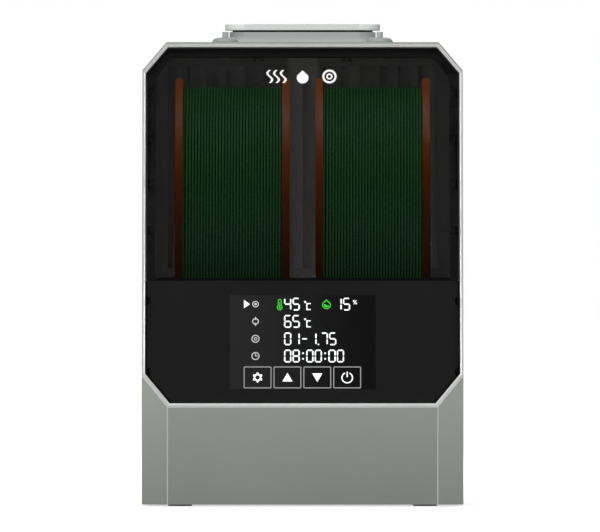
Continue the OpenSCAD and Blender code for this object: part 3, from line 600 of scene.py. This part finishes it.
# %% [markdown]
# ## Spools of filament
# A spool is moulded in orange plastic. The filament on it is 1.75 mm thick and lies in neat turns
# about 2 mm apart. A flat cylinder with a striped picture would look wrong at its top edge, so the
# winding is turned from a scalloped outline, and the scallops climb by one turn per revolution, as
# a real winding does.

# %% Orange spools
orange, tree, shader = new_material("moulded orange polystyrene", "#b45a1e", 0.42,
                                    Specular_IOR_Level=0.2)
grain(tree, shader, "#b2540f", "#c26117", grain_mm=0.8, depth_mm=0.008, rough=(0.38, 0.5))
finish_nodes(orange, "spool_outer_flange_left", "spool_inner_flange_left", "spool_hub_left",
             "spool_outer_flange_right", "spool_inner_flange_right", "spool_hub_right")

# %% Wound filament
PITCH = 2.015 * MM
ROUND = 144
PER_TURN = 6
WINDING_INNER = 42.5 * MM


def wound_ring(name, node, body, material):
    """A ring with a scalloped outside, turned round X, that stands for the frame's plain ring."""
    low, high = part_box(node)
    centre = (low + high) / 2
    outer = (high.z - low.z) / 2
    turns = round((high.x - low.x) / PITCH)
    step = (high.x - low.x) / turns
    mesh = bmesh.new()
    rings = []
    for k in range(ROUND):
        angle = 2 * math.pi * k / ROUND
        climb = step * k / ROUND
        crests = []
        for j in range(turns * PER_TURN + 1):
            across = min(j * step / PER_TURN + climb, turns * step)
            phase = (j / PER_TURN) % 1.0
            crown = math.sqrt(max(0.0, 1 - (2 * phase - 1) ** 2))
            radius = outer - step / 2 * (1 - crown)
            crests.append((low.x + across, radius))
        valley = outer - step / 2
        outline = [(low.x, WINDING_INNER), (low.x, valley), *crests,
                   (high.x, valley), (high.x, WINDING_INNER)]
        sine, cosine = math.sin(angle), math.cos(angle)
        rings.append([mesh.verts.new((x, centre.y + r * sine, centre.z + r * cosine))
                      for x, r in outline])
    count = len(rings[0])
    for k in range(ROUND):
        here, there = rings[k], rings[(k + 1) % ROUND]
        for j in range(count):
            mesh.faces.new((here[j], here[(j + 1) % count], there[(j + 1) % count], there[j]))
    bmesh.ops.remove_doubles(mesh, verts=mesh.verts, dist=1e-7)
    bmesh.ops.recalc_face_normals(mesh, faces=mesh.faces)
    data = bpy.data.meshes.new(name)
    mesh.to_mesh(data)
    mesh.free()
    data.shade_smooth()
    data.materials.append(material)
    made = bpy.data.objects.new(name, data)
    bpy.context.scene.collection.objects.link(made)
    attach(made, body)
    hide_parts(node)
    windings.objects.link(made)
    print(name, turns, "turns,", len(data.vertices), "vertices")
    return made


def wound_green(node):
    """Green plastic that is darker down in the grooves, where light hardly gets in. The grooves
    follow the same climb as the mesh: one step along X for each turn round the axis."""
    low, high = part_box(node)
    centre = (low + high) / 2
    step = (high.x - low.x) / round((high.x - low.x) / PITCH)
    made, tree, shader = new_material("extruded green PLA, " + node, "#4f9a5d", 0.36, ior=1.46)
    place = add(tree, "TexCoord")
    axes = add(tree, "SeparateXYZ", {0: place.outputs["Object"]})
    across = add(tree, "MapRange", {"Value": axes.outputs["X"]}, clamp=False, From_Min=low.x,
                 From_Max=low.x + step)
    back = add(tree, "Math", {0: axes.outputs["Y"]}, operation="SUBTRACT")
    back.inputs[1].default_value = centre.y
    up = add(tree, "Math", {0: axes.outputs["Z"]}, operation="SUBTRACT")
    up.inputs[1].default_value = centre.z
    angle = add(tree, "Math", {0: back.outputs[0], 1: up.outputs[0]}, operation="ARCTAN2")
    turn = add(tree, "MapRange", {"Value": angle.outputs[0]}, clamp=False, From_Max=2 * math.pi)
    phase = add(tree, "Math", {0: across.outputs[0], 1: turn.outputs[0]}, operation="SUBTRACT")
    groove = add(tree, "Math", {0: phase.outputs[0]}, operation="PINGPONG")
    groove.inputs[1].default_value = 0.5
    depth = add(tree, "MapRange", {"Value": groove.outputs[0]}, interpolation_type="SMOOTHSTEP",
                From_Min=0.08, From_Max=0.42)
    patches = add(tree, "TexNoise", {"Vector": place.outputs["Object"]}, Scale=40.0, Detail=2.0)
    crest = add(tree, "Mix", {"Factor": patches.outputs["Fac"]}, data_type="RGBA")
    crest.inputs[6].default_value = linear("#56cb6a")
    crest.inputs[7].default_value = linear("#66d97a")
    shaded = add(tree, "Mix", {"Factor": depth.outputs["Result"], 7: crest.outputs[2]},
                 data_type="RGBA")
    shaded.inputs[6].default_value = linear("#0a2c13")
    tree.links.new(shaded.outputs[2], shader.inputs["Base Color"])
    dull = add(tree, "MapRange", {"Value": patches.outputs["Fac"]}, To_Min=0.42, To_Max=0.55)
    tree.links.new(dull.outputs["Result"], shader.inputs["Roughness"])
    return made


for side in ("left", "right"):
    wound_ring("wound_filament_" + side, "filament_" + side, "spool_" + side,
               wound_green("filament_" + side))

# %% [markdown]
# ## The lit display
# The display shows through black glass only where it is lit. Its digits are made of seven bars, as
# on any segment display, so each digit is a list of the bars that are on. Thin raised plates that
# give off light stand for the lit parts. Words are left out: small pictograms say the same.

# %% Where the marks go
UP = Vector((0, math.sin(LEAN), math.cos(LEAN)))
LENS_THICK = 1.65 * MM
OFF_SURFACE = 0.01 * MM
lens_foot = Vector((0, lens_low.y, lens_low.z + LENS_THICK * math.sin(LEAN)))


def marks(name, outlines, foot, body, material, thick=0.1):
    """Thin plates on the slope: outlines in mm, x across and y up the slope from foot."""
    mesh = bmesh.new()
    for outline in outlines:
        back = [mesh.verts.new(foot + Vector((x * MM, 0, 0)) + UP * (y * MM) + OUT * OFF_SURFACE)
                for x, y in outline]
        front = [mesh.verts.new(v.co + OUT * (thick * MM)) for v in back]
        mesh.faces.new(front)
        mesh.faces.new(back[::-1])
        for i, _ in enumerate(back):
            j = (i + 1) % len(back)
            mesh.faces.new((back[i], back[j], front[j], front[i]))
    bmesh.ops.recalc_face_normals(mesh, faces=mesh.faces)
    data = bpy.data.meshes.new(name)
    mesh.to_mesh(data)
    mesh.free()
    data.materials.append(material)
    made = bpy.data.objects.new(name, data)
    bpy.context.scene.collection.objects.link(made)
    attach(made, body)
    print(name, len(outlines), "plates")
    return made


def lit(name, colour, power):
    made, tree, shader = new_material(name, colour, 0.4)
    place = add(tree, "TexCoord")
    uneven = add(tree, "TexNoise", {"Vector": place.outputs["Object"]}, Scale=160.0)
    glow = add(tree, "MapRange", {"Value": uneven.outputs["Fac"]}, To_Min=power * 0.9,
               To_Max=power * 1.1)
    tree.links.new(glow.outputs["Result"], shader.inputs["Emission Strength"])
    shader.inputs["Emission Color"].default_value = linear(colour)
    return made


lit_white = lit("backlit white segment", "#eef0f2", 0.5)
lit_grey = lit("backlit white print", "#b8b8b8", 0.35)
lit_line = lit("backlit key outline", "#8a8a8a", 0.3)
lit_green = lit("backlit green segment", "#2cb827", 0.5)

# %% [markdown]
# ## Drawing with outlines
# Every mark is a list of closed outlines in millimetres: a ring is a row of small quads, and a
# digit is a row of bars. Blender could trace a font or a curve instead. Plain lists stay sharp,
# need no font file, and turn into simple plates.

# %% Outlines
def shift(outlines, x, y):
    return [[(a + x, b + y) for a, b in line] for line in outlines]


def arc(cx, cy, r, start, stop, steps=24):
    return [(cx + r * math.cos(math.radians(start + (stop - start) * i / steps)),
             cy + r * math.sin(math.radians(start + (stop - start) * i / steps)))
            for i in range(steps + 1)]


def disc(cx, cy, r, steps=24):
    return [arc(cx, cy, r, 0, 360, steps)[:-1]]


def band(outer, inner):
    """Quads between two loops with the same number of points."""
    n = len(outer)
    return [[outer[i], outer[(i + 1) % n], inner[(i + 1) % n], inner[i]] for i in range(n)]


def ring(cx, cy, r, width, start=0, stop=360, steps=28):
    outer, inner = arc(cx, cy, r, start, stop, steps), arc(cx, cy, r - width, start, stop, steps)
    return [[outer[i], outer[i + 1], inner[i + 1], inner[i]] for i in range(steps)]


def box_line(w, h, width, corner):
    """A rounded rectangle drawn as a line, round the middle of (w, h)."""
    def loop(inset):
        r = max(corner - inset, 0.05)
        x, y = w / 2 - inset - r, h / 2 - inset - r
        return sum([arc(sx * x, sy * y, r, a, a + 90, 5) for sx, sy, a in
                    ((1, 1, 0), (-1, 1, 90), (-1, -1, 180), (1, -1, 270))], [])
    return band(loop(0), loop(width))


# %% Segment digits
DIGIT_W, DIGIT_H, STROKE, SPLIT = 4.9, 8.85, 0.92, 0.2
BARS_ON = {"0": "abcdef", "1": "bc", "2": "abged", "3": "abgcd", "4": "fgbc", "5": "afgcd",
           "6": "afgedc", "7": "abc", "8": "abcdefg", "9": "abcdfg", "-": "g"}


def segment(ax, ay, bx, by):
    """A bar from a to b with pointed ends, along x or y."""
    half = STROKE / 2
    if ay == by:
        ax, bx = ax + SPLIT, bx - SPLIT
        return [(ax, ay), (ax + half, ay + half), (bx - half, ay + half), (bx, ay),
                (bx - half, ay - half), (ax + half, ay - half)]
    ay, by = ay + SPLIT, by - SPLIT
    return [(ax, ay), (ax + half, ay + half), (ax + half, by - half), (ax, by),
            (ax - half, by - half), (ax - half, ay + half)]


def digit(character):
    low, mid, high = STROKE / 2, DIGIT_H / 2, DIGIT_H - STROKE / 2
    left, right = STROKE / 2, DIGIT_W - STROKE / 2
    bars = {"a": (left, high, right, high), "b": (right, mid, right, high),
            "c": (right, low, right, mid), "d": (left, low, right, low),
            "e": (left, low, left, mid), "f": (left, mid, left, high),
            "g": (left, mid, right, mid)}
    return [segment(*bars[b]) for b in BARS_ON[character]]


def number(text, x, y, pitch=5.63, colon=3.55, point=1.9):
    made = []
    for character in text:
        if character == ":":
            made += shift(disc(0, 2.5, 0.6) + disc(0, 6.35, 0.6), x + colon / 2 - 0.35, y)
            x += colon
        elif character == ".":
            made += shift(disc(0, 0.55, 0.55), x + 0.5, y)
            x += point
        else:
            made += shift(digit(character), x, y)
            x += pitch
    return made


def degrees_c(x, y):
    """A small degree ring and an open hook, the usual unit of temperature."""
    hook = [[(0, 0), (2.9, 0), (2.9, 0.75), (0.75, 0.75), (0.75, 4.1), (2.9, 4.1),
             (2.9, 4.85), (0, 4.85)]]
    return shift(hook, x + 1.5, y) + ring(x + 0.7, y + 5.6, 0.72, 0.42)


def percent(x, y):
    slash = [[(0.1, 0), (0.55, 0), (2.5, 2.9), (2.05, 2.9)]]
    return shift(slash + ring(0.5, 2.3, 0.62, 0.34) + ring(2.1, 0.62, 0.62, 0.34), x, y)


# %% Rows of the display
ROWS = [54.5, 42.55, 30.5, 18.6]
DIGITS_X = -12.4
white = number("45", DIGITS_X, ROWS[0]) + number("15", 21.3, ROWS[0])
white += number("65", DIGITS_X, ROWS[1])
white += number("01-1.75", DIGITS_X, ROWS[2])
white += number("08:00:00", DIGITS_X, ROWS[3])
white += [[(-39.2, ROWS[0] + 1.6), (-35.3, ROWS[0] + 4.4), (-39.2, ROWS[0] + 7.2)]]
marks("display_digits", white, lens_foot, "base", lit_white)

units = degrees_c(1.0, ROWS[0] + 0.3) + degrees_c(1.0, ROWS[1] + 0.3)
units += percent(33.7, ROWS[0] + 4.3)
marks("display_units", units, lens_foot, "base", lit_white)

# %% Green symbols: a thermometer and a drop
stem = arc(0, 6.4, 1.3, 0, 180, 10) + arc(0, 1.9, 1.9, 133, 407, 20)
tube = arc(0, 6.4, 0.72, 0, 180, 10) + arc(0, 1.9, 1.32, 123, 417, 20)
mercury = [[(-0.3, 1.9), (0.3, 1.9), (0.3, 5.4), (-0.3, 5.4)]]
green_marks = shift(band(stem, tube) + disc(0, 1.9, 0.75) + mercury, -15.3, ROWS[0] + 0.2)
drop = [(0, 6.7)] + arc(0, 2.9, 2.9, 30, -210, 30)
small = [(0, 5.6)] + arc(0, 2.9, 2.3, 30, -210, 30)
water = arc(0, 2.9, 1.75, -195, -10, 16) + [(0.6, 2.2), (-0.4, 3.2)]
green_marks += shift(band(drop, small) + [water], 16.0, ROWS[0] + 1.0)
marks("display_green", green_marks, lens_foot, "base", lit_green)

# %% Row pictograms in place of words: reading, target, spool, clock
reading = ring(0, 0, 2.2, 0.6) + disc(0, 0, 0.8)
target = ring(0, 0, 2.2, 0.6) + [[(-0.3, 0.9), (0.3, 0.9), (0.3, 3.1), (-0.3, 3.1)],
                                 [(-0.3, -3.1), (0.3, -3.1), (0.3, -0.9), (-0.3, -0.9)]]
reel = ring(0, 0, 2.7, 0.6) + ring(0, 0, 1.1, 0.5)
clock = ring(0, 0, 2.7, 0.6) + [[(-0.27, 0), (0.27, 0), (0.27, 1.8), (-0.27, 1.8)],
                                [(0, -0.27), (1.5, -0.27), (1.5, 0.27), (0, 0.27)]]
pictograms = []
for picture, row in zip((reading, target, reel, clock), ROWS):
    pictograms += shift(picture, -31.5, row + DIGIT_H / 2)
marks("display_pictograms", pictograms, lens_foot, "base", lit_grey)

# %% [markdown]
# Each key is only a printed box on the glass, with a sensor spring behind it, so nothing moves.
# A thin outline and one symbol say where to press. The gear is one closed line whose distance from
# the middle rises and falls once for each tooth.

# %% Touch keys: four printed boxes with a gear, two arrows and a power sign
KEY_W, KEY_H, KEY_PITCH, KEY_Y = 18.6, 15.1, 19.96, 8.25
KEY_XS = [(i - 1.5) * KEY_PITCH - 0.15 for i in range(4)]
outlines = sum([shift(box_line(KEY_W, KEY_H, 0.65, 0.9), x, KEY_Y) for x in KEY_XS], [])
marks("key_outlines", outlines, lens_foot, "base", lit_line)

GEAR_TEETH, GEAR_R, TOOTH, GEAR_HOLE = 6, 2.95, 0.6, 1.5
gear_out, gear_in = [], []
for a in range(0, 360, 6):
    r = GEAR_R + TOOTH * math.cos(math.radians(GEAR_TEETH * a))
    across, upward = math.cos(math.radians(a + 90)), math.sin(math.radians(a + 90))
    gear_out.append((r * across, r * upward))
    gear_in.append((GEAR_HOLE * across, GEAR_HOLE * upward))
arrow = [(-3.4, -2.8), (3.4, -2.8), (0, 3.1)]
power_sign = ring(0, -0.2, 3.9, 0.75, 115, 425)
power_sign += [[(-0.38, 0.2), (0.38, 0.2), (0.38, 3.9), (-0.38, 3.9)]]
symbols = shift(band(gear_out, gear_in), KEY_XS[0], KEY_Y) + shift([arrow], KEY_XS[1], KEY_Y)
symbols += shift([[(x, -y) for x, y in arrow][::-1]], KEY_XS[2], KEY_Y)
symbols += shift(power_sign, KEY_XS[3], KEY_Y)
marks("key_symbols", symbols, lens_foot, "base", lit_white)

# %% [markdown]
# ## A printed sign on the window
# A maker would print a name here. This one has a plain legend of its own: warm air, a drop and a
# reel, screen printed in white on the outer face.

# %% Printed sign
window_low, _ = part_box("window")
print_ink, tree, shader = new_material("white screen-print ink", "#f2f2f2", 0.5)
grain(tree, shader, "#ececec", "#f8f8f8", grain_mm=0.4, depth_mm=0.01, rough=(0.45, 0.6))
window_foot = Vector((0, window_low.y, window_low.z))
SIGN_HEIGHT = 287.8 * MM
SIGN_Y = (SIGN_HEIGHT - window_low.z) / math.cos(LEAN) / MM


def wave(x, height=9.0, width=1.5, swing=1.6):
    left, right = [], []
    steps = 24
    for i in range(steps + 1):
        y = -height / 2 + height * i / steps
        bend = swing * math.sin(2 * math.pi * i / steps)
        left.append((x + bend - width / 2, y))
        right.append((x + bend + width / 2, y))
    return left + right[::-1]


DROP_MIDDLE, DROP_BIGGER = 3.6, 1.35
big_drop = [(x * DROP_BIGGER, (y - DROP_MIDDLE) * DROP_BIGGER) for x, y in drop]
big_reel = ring(0, 0, 4.8, 1.4, steps=48) + ring(0, 0, 2.1, 1.0)
sign = [wave(-22), wave(-17.5), wave(-13)] + [big_drop] + shift(big_reel, 18, 0)
marks("window_sign", shift(sign, 0, SIGN_Y), window_foot, "lid", print_ink,
      thick=0.03)
